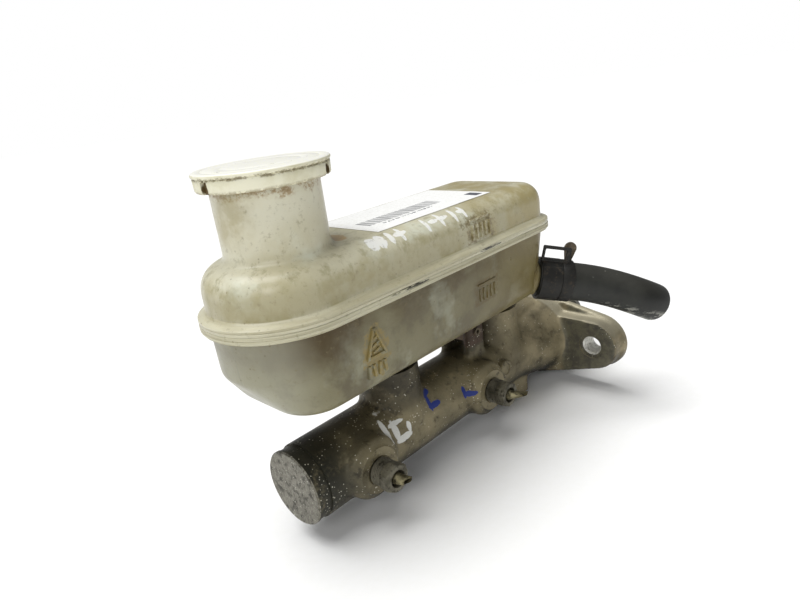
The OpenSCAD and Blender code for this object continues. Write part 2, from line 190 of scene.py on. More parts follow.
def outward(obj):
    edit_all(obj)
    bpy.ops.mesh.normals_make_consistent(inside=False)
    close_edit()
    return obj


def turned(axis, steps, across=(0, 0), sides=64):
    """Turned piece drawn out of a short bar through steps of radius and height."""
    (r0, h0), (r1, h1) = steps[0], steps[1]
    deselect()
    bpy.ops.mesh.primitive_cone_add(
        vertices=sides, radius1=r0 * MM, radius2=r1 * MM, depth=(h1 - h0) * MM,
        end_fill_type="NGON", location=(0, 0, (h0 + h1) / 2 * MM))
    obj = settle()
    select_faces(obj, lambda centre, normal: normal.z > 0.9 and centre.z > (h1 - 0.001) * MM)
    r, h = r1, h1
    for r_next, h_next in steps[2:]:
        bpy.ops.mesh.extrude_region_move(TRANSFORM_OT_translate={"value": (0, 0, (h_next - h) * MM)})
        ratio = r_next / r
        bpy.ops.transform.resize(value=(ratio, ratio, 1), center_override=(0, 0, h_next * MM))
        r, h = r_next, h_next
    close_edit()
    outward(obj)
    obj.rotation_euler = TURN[axis]
    obj.location = spot_on(axis, 0, across)
    return settle()


def join(parts, name=None):
    deselect()
    for part in parts:
        part.select_set(True)
    bpy.context.view_layer.objects.active = parts[0]
    if len(parts) > 1:
        bpy.ops.object.join()
    obj = bpy.context.object
    if name:
        obj.name = name
    return obj


def hull(parts):
    """The tight skin round several parts."""
    obj = join(parts)
    edit_all(obj)
    bpy.ops.mesh.convex_hull()
    close_edit()
    return outward(obj)


def modify(obj, kind, **values):
    pick(obj)
    bpy.ops.object.modifier_add(type=kind)
    modifier = obj.modifiers[-1]
    for key, value in values.items():
        setattr(modifier, key, value)
    bpy.ops.object.modifier_apply(modifier=modifier.name)
    return obj


def combine(obj, others, how):
    """Cuts the others out of obj, or adds them to it, one after another."""
    for other in others:
        modify(obj, "BOOLEAN", operation=how, object=other, solver=SOLVER)
        bpy.data.objects.remove(other, do_unlink=True)
    return obj


def moulded(obj, rounds):
    """Gives joined parts one even skin whose inner corners are filled, as a casting has."""
    modify(obj, "REMESH", mode="VOXEL", voxel_size=VOXEL * MM)
    modify(obj, "SMOOTH", factor=0.5, iterations=rounds)
    return obj


def slice_off(obj, at, normal):
    """Cuts obj flat through a point and throws away the side the normal points to."""
    edit_all(obj)
    bpy.ops.mesh.bisect(plane_co=Vector(at) * MM, plane_no=normal, use_fill=True, clear_outer=True)
    close_edit()
    return obj


def bevelled(obj, width, segments=2, angle=30):
    return modify(obj, "BEVEL", width=width * MM, segments=segments, limit_method="ANGLE",
                  angle_limit=math.radians(angle), harden_normals=False)


def smooth(obj, angle=32):
    pick(obj)
    bpy.ops.object.shade_smooth_by_angle(angle=math.radians(angle))
    return obj


def finished(obj, name, body, material, stands_for=(), angle=32):
    smooth(obj, angle)
    obj.name = name
    obj.data.name = name
    obj.data.materials.clear()
    obj.data.materials.append(material)
    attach(obj, body)
    if stands_for:
        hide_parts(*stands_for)
    return obj


# ---- Camera, light and floor ----

def camera():
    azimuth, elevation, roll = math.radians(-43.456), math.radians(19.471), math.radians(-7.824)
    look = Vector((-math.sin(azimuth) * math.cos(elevation),
                   math.cos(azimuth) * math.cos(elevation), -math.sin(elevation)))
    level = Vector((math.cos(azimuth), math.sin(azimuth), 0))
    down = look.cross(level)
    right = level * math.cos(roll) - down * math.sin(roll)
    down = level * math.sin(roll) + down * math.cos(roll)
    data = bpy.data.cameras.new("camera")
    data.lens = 27.32
    data.sensor_width = 36
    data.clip_start = 0.01
    obj = bpy.data.objects.new("camera", data)
    bpy.context.scene.collection.objects.link(obj)
    turn = Matrix((right, -down, -look)).transposed().to_4x4()
    obj.matrix_world = Matrix.Translation(Vector((-281.4, -181.7, 143.0)) * MM) @ turn
    bpy.context.scene.camera = obj


def light(name, kind, energy, place, looks_along):
    """Light that shines along a direction."""
    data = bpy.data.lights.new(name, kind)
    data.energy = energy
    obj = bpy.data.objects.new(name, data)
    bpy.context.scene.collection.objects.link(obj)
    obj.location = place
    obj.rotation_euler = Vector(looks_along).to_track_quat("-Z", "Y").to_euler()
    return data


def studio():
    camera()
    light("sky_light", "SUN", 2.9, (0, 0, 1), (0.18, -0.16, -1.0)).angle = math.radians(50)
    front = light("front_light", "AREA", 1.5, (-0.75, -0.35, 0.45), (0.63, 0.35, -0.4))
    front.shape = "DISK"
    front.size = 0.35
    scene = bpy.context.scene
    scene.view_settings.view_transform = "Standard"
    world = bpy.data.worlds.new("studio")
    scene.world = world
    world.use_nodes = True
    nodes, links = world.node_tree.nodes, world.node_tree.links
    nodes.clear()
    out = nodes.new("ShaderNodeOutputWorld")
    both = nodes.new("ShaderNodeMixShader")
    seen = nodes.new("ShaderNodeBackground")
    fill = nodes.new("ShaderNodeBackground")
    path = nodes.new("ShaderNodeLightPath")
    seen.inputs["Color"].default_value = (1, 1, 1, 1)
    fill.inputs["Color"].default_value = (0.97, 0.98, 1, 1)
    fill.inputs["Strength"].default_value = 0.22
    links.new(path.outputs["Is Camera Ray"], both.inputs[0])
    links.new(fill.outputs[0], both.inputs[1])
    links.new(seen.outputs[0], both.inputs[2])
    links.new(both.outputs[0], out.inputs["Surface"])
    deselect()
    bpy.ops.mesh.primitive_circle_add(vertices=64, radius=6, fill_type="NGON",
                                      location=(0, 0, cad_box[0][2] - 0.0002))
    floor = settle("floor")
    skin = Finish("pale_floor", rough=0.9)
    skin.colour(skin.mix(skin.noise(3), "#fafaf8", "#ffffff"))
    floor.data.materials.append(skin.material)


# ---- Finishes ----

def tone(text):
    """Linear colour from a hex colour."""
    parts = [int(text[i:i + 2], 16) / 255 for i in (1, 3, 5)]
    return [c / 12.92 if c <= 0.04045 else ((c + 0.055) / 1.055) ** 2.4 for c in parts] + [1.0]


class Finish:
    """One material, built up from layers of noise, fades and patches. Sizes are in millimetres."""

    def __init__(self, name, rough=0.5, metal=0.0, gloss=0.5):
        self.material = bpy.data.materials.new(name)
        self.material.use_nodes = True
        tree = self.material.node_tree
        self.nodes, self.links = tree.nodes, tree.links
        self.shader = self.nodes["Principled BSDF"]
        self.shader.inputs["Roughness"].default_value = rough
        self.shader.inputs["Metallic"].default_value = metal
        self.shader.inputs["Specular IOR Level"].default_value = gloss
        self.place = self.nodes.new("ShaderNodeTexCoord").outputs["Object"]
        self.split = None

    def axis(self, letter):
        """One coordinate, in millimetres."""
        if self.split is None:
            self.split = self.nodes.new("ShaderNodeSeparateXYZ")
            self.links.new(self.place, self.split.inputs[0])
        return self.math("MULTIPLY", self.split.outputs["XYZ".index(letter)], 1000.0)

    def put(self, value, socket):
        if isinstance(value, bpy.types.NodeSocket):
            self.links.new(value, socket)
        elif isinstance(value, str):
            socket.default_value = tone(value)
        else:
            socket.default_value = value

    def math(self, how, a, b=0.0):
        node = self.nodes.new("ShaderNodeMath")
        node.operation = how
        self.put(a, node.inputs[0])
        self.put(b, node.inputs[1])
        return node.outputs[0]

    def mapped(self, stretch=(1, 1, 1), shift=(0, 0, 0), turn=(0, 0, 0)):
        node = self.nodes.new("ShaderNodeMapping")
        node.inputs["Location"].default_value = shift
        node.inputs["Rotation"].default_value = turn
        node.inputs["Scale"].default_value = stretch
        self.links.new(self.place, node.inputs["Vector"])
        return node.outputs[0]

    def noise(self, size, detail=4.0, rough=0.6, stretch=None, shift=(0, 0, 0), turn=(0, 0, 0)):
        """Noise whose blotches are about the given size."""
        node = self.nodes.new("ShaderNodeTexNoise")
        node.inputs["Scale"].default_value = 1000.0 / size
        node.inputs["Detail"].default_value = detail
        node.inputs["Roughness"].default_value = rough
        where = self.place
        if stretch or any(shift) or any(turn):
            where = self.mapped(stretch or (1, 1, 1), shift, turn)
        self.links.new(where, node.inputs["Vector"])
        return node.outputs["Fac"]

    def grains(self, size, shift=(0, 0, 0)):
        """Distance to scattered points about the given size apart."""
        node = self.nodes.new("ShaderNodeTexVoronoi")
        node.inputs["Scale"].default_value = 1000.0 / size
        self.links.new(self.mapped(shift=shift), node.inputs["Vector"])
        return node.outputs["Distance"]

    def fade(self, value, low, high):
        """0 below low and 1 above high, or the other way round where high is the smaller."""
        node = self.nodes.new("ShaderNodeMapRange")
        node.interpolation_type = "SMOOTHSTEP"
        self.put(value, node.inputs["Value"])
        start, end = (low, high) if low < high else (high, low)
        falls = low > high
        values = {"From Min": start, "From Max": end, "To Min": float(falls), "To Max": float(not falls)}
        for name, number in values.items():
            node.inputs[name].default_value = number
        return node.outputs["Result"]

    def within(self, letter, low, high, soft=2.0):
        """1 between two stations along an axis."""
        value = self.axis(letter)
        return self.both(self.fade(value, low - soft, low), self.fade(value, high + soft, high))

    def both(self, *masks):
        value = masks[0]
        for mask in masks[1:]:
            value = self.math("MULTIPLY", value, mask)
        return value

    def either(self, *masks):
        value = masks[0]
        for mask in masks[1:]:
            value = self.math("MAXIMUM", value, mask)
        return value

    def mix(self, amount, under, over):
        node = self.nodes.new("ShaderNodeMix")
        node.data_type = "RGBA"
        self.put(amount, node.inputs[0])
        self.put(under, node.inputs[6])
        self.put(over, node.inputs[7])
        return node.outputs[2]

    def vector(self, how, value, other=()):
        node = self.nodes.new("ShaderNodeVectorMath")
        node.operation = how
        self.links.new(value, node.inputs[0])
        if other:
            node.inputs[1].default_value = [v * MM for v in other]
        return node

    def over(self, under, paint, mask, strength):
        """Lays paint over a colour through a mask, thinned to a strength from 0 to 1."""
        return self.mix(self.math("MULTIPLY", mask, strength), under, paint)

    def patch(self, centre, radii, ragged=0.3, size=3.0, soft=0.0):
        """1 inside a ragged-edged blob, whose edge fades over a wider band where soft is above 0."""
        shifted = self.vector("SUBTRACT", self.place, centre).outputs[0]
        scaled = self.vector("DIVIDE", shifted, radii).outputs[0]
        reach = self.vector("LENGTH", scaled).outputs["Value"]
        wobble = self.math("MULTIPLY", self.noise(size, 3), ragged * 2)
        ragged_reach = self.math("ADD", reach, wobble)
        return self.fade(ragged_reach, 1.0 + ragged * 1.15, 0.9 + ragged - soft)

    def dabs(self, *strokes):
        """Brush strokes, as rows of place, half width, half height, raggedness and grain."""
        return self.either(*[self.patch((x, y, z), (wide, 8, high), ragged, size)
                             for x, y, z, wide, high, ragged, size in strokes])

    def normal_lean(self, letter):
        """How far the surface faces along an axis, from -1 to 1."""
        node = self.nodes.new("ShaderNodeNewGeometry")
        split = self.nodes.new("ShaderNodeSeparateXYZ")
        self.links.new(node.outputs["Normal"], split.inputs[0])
        return split.outputs["XYZ".index(letter)]

    def bump(self, *layers):
        """Relief from (height, depth in millimetres) pairs."""
        last = None
        for height, depth in layers:
            node = self.nodes.new("ShaderNodeBump")
            node.inputs["Strength"].default_value = 1.0
            node.inputs["Distance"].default_value = depth * MM
            self.links.new(height, node.inputs["Height"])
            if last is not None:
                self.links.new(last, node.inputs["Normal"])
            last = node.outputs["Normal"]
        self.links.new(last, self.shader.inputs["Normal"])

    def colour(self, value):
        self.put(value, self.shader.inputs["Base Color"])

    def roughness(self, value, low=0.0, high=1.0):
        node = self.nodes.new("ShaderNodeMapRange")
        self.put(value, node.inputs["Value"])
        node.inputs["To Min"].default_value = low
        node.inputs["To Max"].default_value = high
        self.links.new(node.outputs["Result"], self.shader.inputs["Roughness"])

    def metal(self, value):
        self.put(value, self.shader.inputs["Metallic"])


def cast_finish():
    f = Finish("dirty_cast_aluminium", rough=0.62, metal=0.35, gloss=0.4)
    broad = f.noise(34, 5, 0.6)
    mottle = f.noise(6, 6, 0.7, shift=(0.2, 0.1, 0))
    fine = f.noise(1.1, 4, 0.7)
    base = f.mix(f.fade(broad, 0.36, 0.66), "#6a624b", "#8f8567")
    base = f.mix(f.fade(mottle, 0.52, 0.7), base, "#453e2f")
    base = f.mix(f.both(f.fade(fine, 0.55, 0.75), f.fade(broad, 0.3, 0.7)), base, "#8f866e")
    # tan saddle and flange, towards the booster
    tan = f.both(f.fade(f.axis("X"), -58, -30), f.fade(f.noise(18, 4), 0.35, 0.6))
    base = f.over(base, "#a5997a", tan, 0.75)
    # dark grey front of the flange, partly grime and partly painted shade from the tank, with a painted
    # highlight on its upward-facing edges
    front = f.both(f.fade(f.normal_lean("X"), -0.6, -0.85), f.fade(f.axis("X"), -17, -15))
    wide = f.math("ABSOLUTE", f.axis("Y"))
    ear_face_grime_and_shade = f.both(front, f.fade(wide, 18, 22))
    base = f.mix(ear_face_grime_and_shade, base, f.mix(f.fade(mottle, 0.4, 0.6), "#6f6b58", "#58554a"))
    # painted highlight: pale tan on the flange's upward-facing surfaces
    ring = f.both(f.fade(f.axis("X"), -12, -10), f.fade(f.normal_lean("Z"), 0.3, 0.8))
    base = f.over(base, "#b8b199", ring, 0.8)
    # greasy dark film at the closed end, and painted shade on the downward-facing underside
    low = f.either(f.fade(f.normal_lean("Z"), -0.15, -0.75), f.fade(f.axis("X"), -150, -172))
    base = f.mix(f.both(low, f.fade(mottle, 0.25, 0.5)), base, "#2e2d23")
    # painted shadow of the tank on the barrel top and the feet of the towers
    shaded = f.both(f.fade(f.axis("Z"), 12, 22), f.fade(f.axis("X"), -46, -60),
                    f.fade(f.noise(9, 4), 0.3, 0.55))
    base = f.over(base, "#38332a", shaded, 0.6)
    # browned cheeks round the reservoir's pin
    cheek = f.both(f.within("X", LUG_X - 7.5, LUG_X + 7.5, 1.0), f.fade(f.axis("Z"), 19, 21))
    base = f.over(base, f.mix(f.fade(mottle, 0.4, 0.6), "#6d5040", "#543c30"), cheek, 0.85)
    # painted shade, with some soot, where the towers meet the barrel under the tank
    tower_soot_and_shade = f.both(f.fade(f.axis("Z"), 9, 17), f.fade(f.axis("X"), -52, -66),
                  f.fade(f.noise(12, 4, shift=(0.2, 0.2, 0)), 0.36, 0.52))
    base = f.over(base, "#27241b", tower_soot_and_shade, 0.6)
    # pale specks of salt
    speck = f.both(f.fade(f.grains(1.5), 0.2, 0.1), f.fade(f.noise(9, 3, shift=(0, 0.3, 0)), 0.46, 0.58))
    base = f.over(base, "#e4dfcd", speck, 0.85)
    pit = f.both(f.fade(f.grains(1.7, (0.05, 0, 0.02)), 0.15, 0.06), f.fade(mottle, 0.5, 0.56))
    base = f.mix(pit, base, "#2b271d")
    # dabs of marking paint
    white = f.dabs(
        (-138.5, -14, 15.4, 5.2, 1.8, 0.25, 4), (-140.4, -15, 9.6, 1.5, 5.2, 0.35, 2.5),
        (-135.6, -16, 7.2, 1.6, 5.0, 0.35, 2.5), (-132.6, -16, 3.0, 5.0, 1.6, 0.4, 2.5),
        (-128.4, -16, 6.0, 1.1, 2.6, 0.4, 2), (-134.2, -16, 9.8, 4.4, 1.0, 0.45, 2))
    base = f.mix(white, base, "#dcdcd6")
    blue = f.dabs(
        (-111.6, -15.5, 13.0, 3.4, 1.5, 0.4, 2), (-110.6, -15.5, 7.4, 4.0, 1.4, 0.45, 2),
        (-113.0, -15.5, 10.0, 1.2, 4.6, 0.4, 2), (-88.8, -16, 3.2, 3.2, 1.3, 0.4, 2),
        (-91.2, -16, 4.6, 1.1, 3.0, 0.4, 2))
    base = f.mix(blue, base, "#1b2f7c")
    f.colour(base)
    f.metal(f.math("MULTIPLY", f.fade(f.either(white, blue), 0.5, 0.1), 0.35))
    f.roughness(mottle, 0.28, 0.7)
    f.bump((broad, 0.25), (mottle, 0.4), (fine, 0.14))
    return f.material


def machined_finish():
    f = Finish("machined_aluminium", rough=0.32, metal=0.85)
    scratch = f.noise(0.8, 3, 0.7, stretch=(0.25, 3, 0.4), turn=(0.5, 0, 0.3))
    cross = f.noise(0.9, 3, 0.7, stretch=(1, 0.2, 3), turn=(0.9, 0.2, 0))
    dirt = f.noise(2.6, 5, 0.7)
    base = f.mix(f.fade(scratch, 0.45, 0.66), "#6a675c", "#918e82")
    base = f.mix(f.fade(cross, 0.6, 0.72), base, "#b5b3a8")
    base = f.mix(f.fade(dirt, 0.48, 0.64), base, "#45423a")
    glint = f.both(f.fade(f.grains(1.3), 0.2, 0.1), f.fade(f.noise(4, 4), 0.46, 0.56))
    base = f.mix(glint, base, "#d6d4ca")
    f.colour(base)
    f.roughness(dirt, 0.3, 0.62)
    f.bump((scratch, 0.06), (cross, 0.05), (dirt, 0.08))
    return f.material


def tank_finish(name, upper):
    f = Finish(name, rough=0.42, gloss=0.45 if upper else 0.3)
    broad = f.noise(42, 4, 0.55)
    cloud = f.noise(14, 5, 0.6, shift=(0.1, 0.4, 0.2))
    fine = f.noise(2.2, 5, 0.72)
    z = f.axis("Z")
    if upper:
        base = f.mix(f.fade(broad, 0.35, 0.68), "#d3d0ba", "#bfb99b")
        base = f.mix(f.both(f.fade(cloud, 0.44, 0.64), f.fade(z, 95, 80)), base, "#a1986d")
        streak = f.both(f.fade(f.noise(5, 5, 0.7, stretch=(1, 1, 0.6)), 0.5, 0.66), f.fade(z, 104, 92))
        base = f.over(base, "#8e8862", streak, 0.5)
        pale = f.both(f.fade(f.noise(19, 4, 0.6, shift=(0.3, 0, 0.1)), 0.5, 0.68), f.fade(z, 110, 90))
        base = f.over(base, "#d9dccb", pale, 0.7)
        # side wall darker than the lit top: painted shade, with some browning by old fluid
        side = f.both(f.fade(z, 90, 82), f.fade(z, 74.5, 79))
        base = f.over(base, "#9c9470", side, 0.75)
        # rear end more yellow
        rear = f.fade(f.axis("X"), -110, -60)
        base = f.mix(f.both(rear, f.fade(cloud, 0.3, 0.6)), base, "#a3976b")
        # rings of old dirt below the cap
        ring = f.math("ADD", z, f.math("MULTIPLY", f.noise(7, 4, 0.7), 7.0))
        stain = f.both(f.fade(ring, 117.0, 119.5), f.fade(fine, 0.42, 0.6), f.fade(z, 110, 114))
        base = f.over(base, "#96794a", stain, 0.85)
        left = f.both(f.fade(f.axis("X"), -176, -183), f.fade(z, 96, 104), f.fade(cloud, 0.35, 0.6))
        base = f.over(base, "#9d9166", left, 0.6)
        foot = f.patch((-145.5, -6, 93), (5, 7, 3), 0.3, 5)
        base = f.over(base, "#b08d4e", foot, 0.7)
        marks = f.both(f.within("X", -93, -76, 1.0), f.within("Z", 77.5, 88, 1.0), f.fade(fine, 0.42, 0.56))
        base = f.over(base, "#7a6a40", marks, 0.6)
        tips = f.both(f.within("X", -96, -74, 4), f.fade(fine, 0.52, 0.62), f.fade(z, 91, 86))
        base = f.over(base, "#6a5c36", tips, 0.55)
        for x, wide, high in ((-141.5, 2.6, 3.4), (-137.5, 2.4, 3.6), (-132.5, 1.2, 3.8), (-127.5, 3.4, 1.1),
                              (-127, 1.0, 3.8), (-113, 1.0, 4.0), (-108.5, 2.8, 1.0), (-104.5, 1.0, 4.2),
                              (-103, 3.0, 1.0), (-96.5, 1.1, 3.8), (-91.5, 2.4, 1.0), (-90.5, 1.0, 3.4)):
            mark = f.patch((x, -23.8, 90.9), (wide, high, 4), 0.4, 1.6)
            base = f.mix(mark, base, "#eeeee8")
    else:
        base = f.mix(f.fade(broad, 0.35, 0.68), "#817c60", "#716a4c")
        base = f.mix(f.fade(cloud, 0.44, 0.62), base, "#676048")
        milky = f.fade(f.noise(17, 4, 0.6, shift=(0.3, 0, 0.1)), 0.52, 0.68)
        base = f.over(base, "#9b9c88", milky, 0.6)
        # brown shadow of dirt just below the rim
        brown = f.either(
            f.patch((-174, -24, 70), (36, 26, 21), 0.35, 11, 0.75),
            f.both(f.fade(z, 54, 71), f.fade(f.noise(10, 4, 0.65, stretch=(0.5, 0.5, 1)), 0.32, 0.62)))
        corner = f.math("ADD", f.math("MULTIPLY", f.fade(f.axis("X"), -140, -170), 0.2), 0.78)
        base = f.mix(f.both(brown, corner), base, "#47370f")
        around = f.both(f.patch((-150.5, -27, 53), (6.4, 6, 10), 0.5, 3), f.fade(fine, 0.36, 0.56))
        base = f.over(base, "#8f7d48", around, 0.85)
        marks = f.both(f.within("X", -91, -75, 1.0), f.within("Z", 49.5, 59.5, 1.0), f.fade(fine, 0.4, 0.54))
        base = f.over(base, "#5f4f2c", marks, 0.7)
        seam = f.both(f.within("Y", -5.1, -4.7, 0.15), f.fade(f.axis("X"), -182, -186))
        base = f.over(base, "#5c5a48", seam, 0.6)
        lug = f.both(f.within("X", LUG_X - 6, LUG_X + 6, 1.0), f.fade(z, 36.6, 36.2))
        base = f.mix(lug, base, "#5e4436")
        rear = f.fade(f.axis("X"), -100, -45)
        base = f.over(base, "#786a3d", rear, 0.7)
        rust = f.both(f.fade(f.axis("X"), -62, -36),
                      f.fade(f.noise(4, 5, 0.75, stretch=(1, 1, 0.3)), 0.52, 0.64))
        base = f.over(base, "#5e4c27", rust, 0.7)
        pale = f.fade(f.axis("X"), -172, -188)
        base = f.over(base, "#a9a896", pale, 0.5)
    # rim lines and scuffs
    at_rim = f.both(f.fade(z, 69.4, 69.9), f.fade(z, 77.2, 76.4))
    lines = f.noise(1.6, 3, 0.6, stretch=(0.03, 0.03, 1.0))
    base = f.over(base, f.mix(f.fade(lines, 0.4, 0.62), "#b1ab8e", "#c9c5ab"), at_rim, 0.9)
    ragged = f.fade(f.noise(2.2, 5, 0.8, stretch=(0.3, 0.3, 2)), 0.44, 0.52)
    scuff = f.both(ragged, f.either(f.patch((-132.5, -31, 72.4), (10, 4, 0.7), 0.3, 3),
                                    f.patch((-83, -31, 73.9), (8, 4, 0.6), 0.3, 3)))
    base = f.mix(scuff, base, "#3a372c")
    # dark specks and fine grime
    speck = f.both(f.fade(f.grains(3.4), 0.13, 0.07), f.fade(f.noise(22, 3, shift=(0.5, 0, 0)), 0.46, 0.58),
                   f.fade(z, 104, 96))
    base = f.over(base, "#6d6243", speck, 0.45 if upper else 0.6)
    base = f.over(base, "#776d4b", f.fade(fine, 0.54, 0.74), 0.5)
    f.colour(base)
    f.roughness(cloud, 0.2, 0.48)
    f.bump((cloud, 0.3), (fine, 0.09), (f.both(at_rim, lines), 0.1))
    f.shader.inputs["Coat Weight"].default_value = 0.2 if upper else 0.05
    f.shader.inputs["Coat Roughness"].default_value = 0.22
    f.shader.inputs["Subsurface Weight"].default_value = 0.15
    f.shader.inputs["Subsurface Radius"].default_value = (0.004, 0.0035, 0.0025)
    return f.material


def cap_finish():
    f = Finish("old_white_cap", rough=0.42)
    cloud = f.noise(11, 5, 0.65)
    fine = f.noise(1.6, 5, 0.75)
    z = f.axis("Z")
    base = f.mix(f.fade(cloud, 0.4, 0.7), "#e4e1c9", "#d2cdae")
    wavy = f.math("ADD", z, f.math("MULTIPLY", f.noise(4, 4, 0.7), 1.6))
    line = f.both(f.fade(wavy, 122.3, 122.9), f.fade(wavy, 123.9, 123.4), f.fade(fine, 0.42, 0.56))
    base = f.over(base, "#6f6138", line, 0.75)
    low = f.both(f.fade(wavy, 119.6, 118.4), f.fade(fine, 0.36, 0.52))
    base = f.over(base, "#7d6c42", low, 0.7)
    # painted shade in the three notches of the skirt
    for x, y in ((-187.3, -1.3), (-152.9, -18.6), (-155.1, 19.8)):
        base = f.mix(f.patch((x, y, 119.4), (2.2, 2.2, 3.2), 0.15, 2), base, "#5b4a2c")
    top = f.fade(z, 123.5, 123.8)
    base = f.mix(top, base, f.mix(f.fade(fine, 0.62, 0.7), "#f1f0e6", "#cfc9ae"))
    base = f.mix(f.both(top, f.fade(f.noise(6, 5, 0.8), 0.66, 0.7)), base, "#8c8568")
    f.colour(base)
    f.roughness(cloud, 0.35, 0.55)
    f.bump((cloud, 0.15), (fine, 0.05))
    f.shader.inputs["Subsurface Weight"].default_value = 0.15
    f.shader.inputs["Subsurface Radius"].default_value = (0.003, 0.003, 0.002)
    return f.material


def metal_finish(name, light, dark, grime, rough=0.4, metal=0.8, size=2.5):
    """Worn metal: two tones, grime in patches, and fine scratches."""
    f = Finish(name, rough=rough, metal=metal)
    broad = f.noise(size * 2.4, 5, 0.65)
    fine = f.noise(size * 0.3, 4, 0.7)
    dirt = f.noise(size, 5, 0.7, shift=(0.3, 0.2, 0.1))
    base = f.mix(f.fade(broad, 0.38, 0.64), light, dark)
    base = f.mix(f.fade(fine, 0.58, 0.74), base, light)
    base = f.mix(f.fade(dirt, 0.52, 0.66), base, grime)
    f.colour(base)
    f.roughness(dirt, max(0.12, rough - 0.14), min(0.95, rough + 0.22))
    f.bump((dirt, 0.06), (fine, 0.04))
    return f.material


def rubber_finish():
    f = Finish("seal_rubber", rough=0.6, gloss=0.35)
    cloud = f.noise(5, 5, 0.65)
    fine = f.noise(0.8, 4, 0.7)
    base = f.mix(f.fade(cloud, 0.4, 0.68), "#1d1d1b", "#2a2a27")
    base = f.over(base, "#4b4a44", f.fade(fine, 0.6, 0.78), 0.5)
    f.colour(base)
    f.roughness(cloud, 0.5, 0.78)
    f.bump((cloud, 0.06), (fine, 0.03))
    return f.material


def hose_finish():
    f = Finish("hose_rubber", rough=0.6, gloss=0.4)
    cloud = f.noise(13, 5, 0.6)
    fine = f.noise(0.9, 4, 0.72)
    streak = f.noise(2.6, 5, 0.75, stretch=(0.35, 0.35, 1))
    base = f.mix(f.fade(cloud, 0.38, 0.68), "#1a1b18", "#282924")
    # painted highlight: the upward-facing side of the hose lighter
    base = f.over(base, "#3f3d36", f.fade(f.normal_lean("Z"), 0.2, 0.95), 0.4)
    under = f.both(f.fade(f.normal_lean("Z"), -0.2, -0.6), f.fade(f.normal_lean("Z"), -0.98, -0.75))
    scuff = f.both(under, f.fade(streak, 0.5, 0.58), f.fade(f.axis("X"), -26, -16))
    base = f.over(base, "#a9a89e", scuff, 0.85)
    nick = f.both(f.fade(f.grains(3.1), 0.13, 0.08), f.fade(f.noise(8, 3), 0.56, 0.64))
    base = f.mix(nick, base, "#b4b3aa")
    f.colour(base)
    f.roughness(cloud, 0.34, 0.62)
    f.bump((cloud, 0.12), (fine, 0.05), (streak, 0.06))
    return f.material


def plain_plastic(name, light, dark, rough=0.4):
    f = Finish(name, rough=rough)
    cloud = f.noise(6, 5, 0.6)
    fine = f.noise(0.9, 4, 0.7)
    base = f.mix(f.fade(cloud, 0.38, 0.68), light, dark)
    f.colour(f.over(base, dark, f.fade(fine, 0.6, 0.75), 0.4))
    f.roughness(cloud, rough - 0.1, rough + 0.15)
    f.bump((cloud, 0.05), (fine, 0.02))
    return f.material


def paper_finish():
    f = Finish("paper_label", rough=0.7, gloss=0.3)
    fibre = f.noise(1.2, 5, 0.7)
    base = f.mix(f.fade(fibre, 0.4, 0.7), "#f3f3f1", "#e6e6e2")
    lines = f.noise(0.8, 1, 0.4, stretch=(1, 0.0, 0.0))
    bars = f.both(f.fade(lines, 0.47, 0.49), f.within("Y", -7.5, 1.0, 0.2), f.within("X", -127, -84, 0.2))
    base = f.over(base, "#4c4e54", bars, 0.7)
    small = f.both(f.fade(f.noise(0.9, 2, 0.6, stretch=(1, 0.5, 1)), 0.5, 0.54),
                   f.within("Y", -10.5, -8.9, 0.2), f.within("X", -122, -92, 0.3))
    base = f.mix(small, base, "#6a6c70")
    block_mark = f.both(f.within("X", -70, -65.5, 0.2), f.within("Y", -16, -9, 0.2))
    base = f.mix(block_mark, base, "#5a5c62")
    stain = f.fade(f.noise(16, 4), 0.6, 0.75)
    base = f.over(base, "#d9d4bd", stain, 0.4)
    f.colour(base)
    f.bump((fibre, 0.03))
    return f.material


# ---- Cast body ----

def ear_plate(start, end, tip, hub, drop):
    parts = [bar("X", start, end, tip, (side * STUD_Y, 0), sides=48) for side in (-1, 1)]
    parts.append(bar("X", start, end, hub, (0, -drop), sides=64))
    return hull(parts)


def rough_casting():
    parts = [
        bar("X", -178, -18, BARREL_R),
        bar("X", -40, -8, BARREL_R - 0.4, r_end=22.4),
        bar("X", -12, 3, 22.4),
        ear_plate(-11, 3, 13.4, 19.2, 5),
        ear_plate(-3.4, 3, 14.75, 22.2, 0),
        block((-52, -9, -25.4), (-29, 9, -8)),
        block((-40, -5, 8), (-8, 5, 21.5)),
    ]
    for x in TOWERS:
        parts.append(bar("Z", 2, TOWER_TOP + 2.5, TOWER_R + 0.1, (x, 0)))
        parts.append(bar("Z", 6, 18, 16.4, (x, 0), r_end=TOWER_R))
    for x in PORTS:
        parts.append(bar("-Y", 2, BOSS_FACE + 2.5, BOSS_R + 0.2, (x, 0)))
        parts.append(bar("-Y", 3, 17.9, 14.2, (x, 0), r_end=13.3))
        parts.append(bar("-Y", 17.8, 19.7, 13.3, (x, 0), r_end=BOSS_R + 1.0))
    parts.append(bar("Y", 2, 21.5, 7.2, (STOP_BOLT_X, 0)))
    for side in (-1, 1):
        y = side * 7.5
        parts.append(block((LUG_X - 6.2, y - 2.2, 8), (LUG_X + 6.2, y + 2.2, LUG_Z + 5.2)))
        y = side * 15
        parts.append(block((-13.2, y - 7.0, -4), (-6, y + 7.0, 4)))
    return moulded(join(parts), 14)


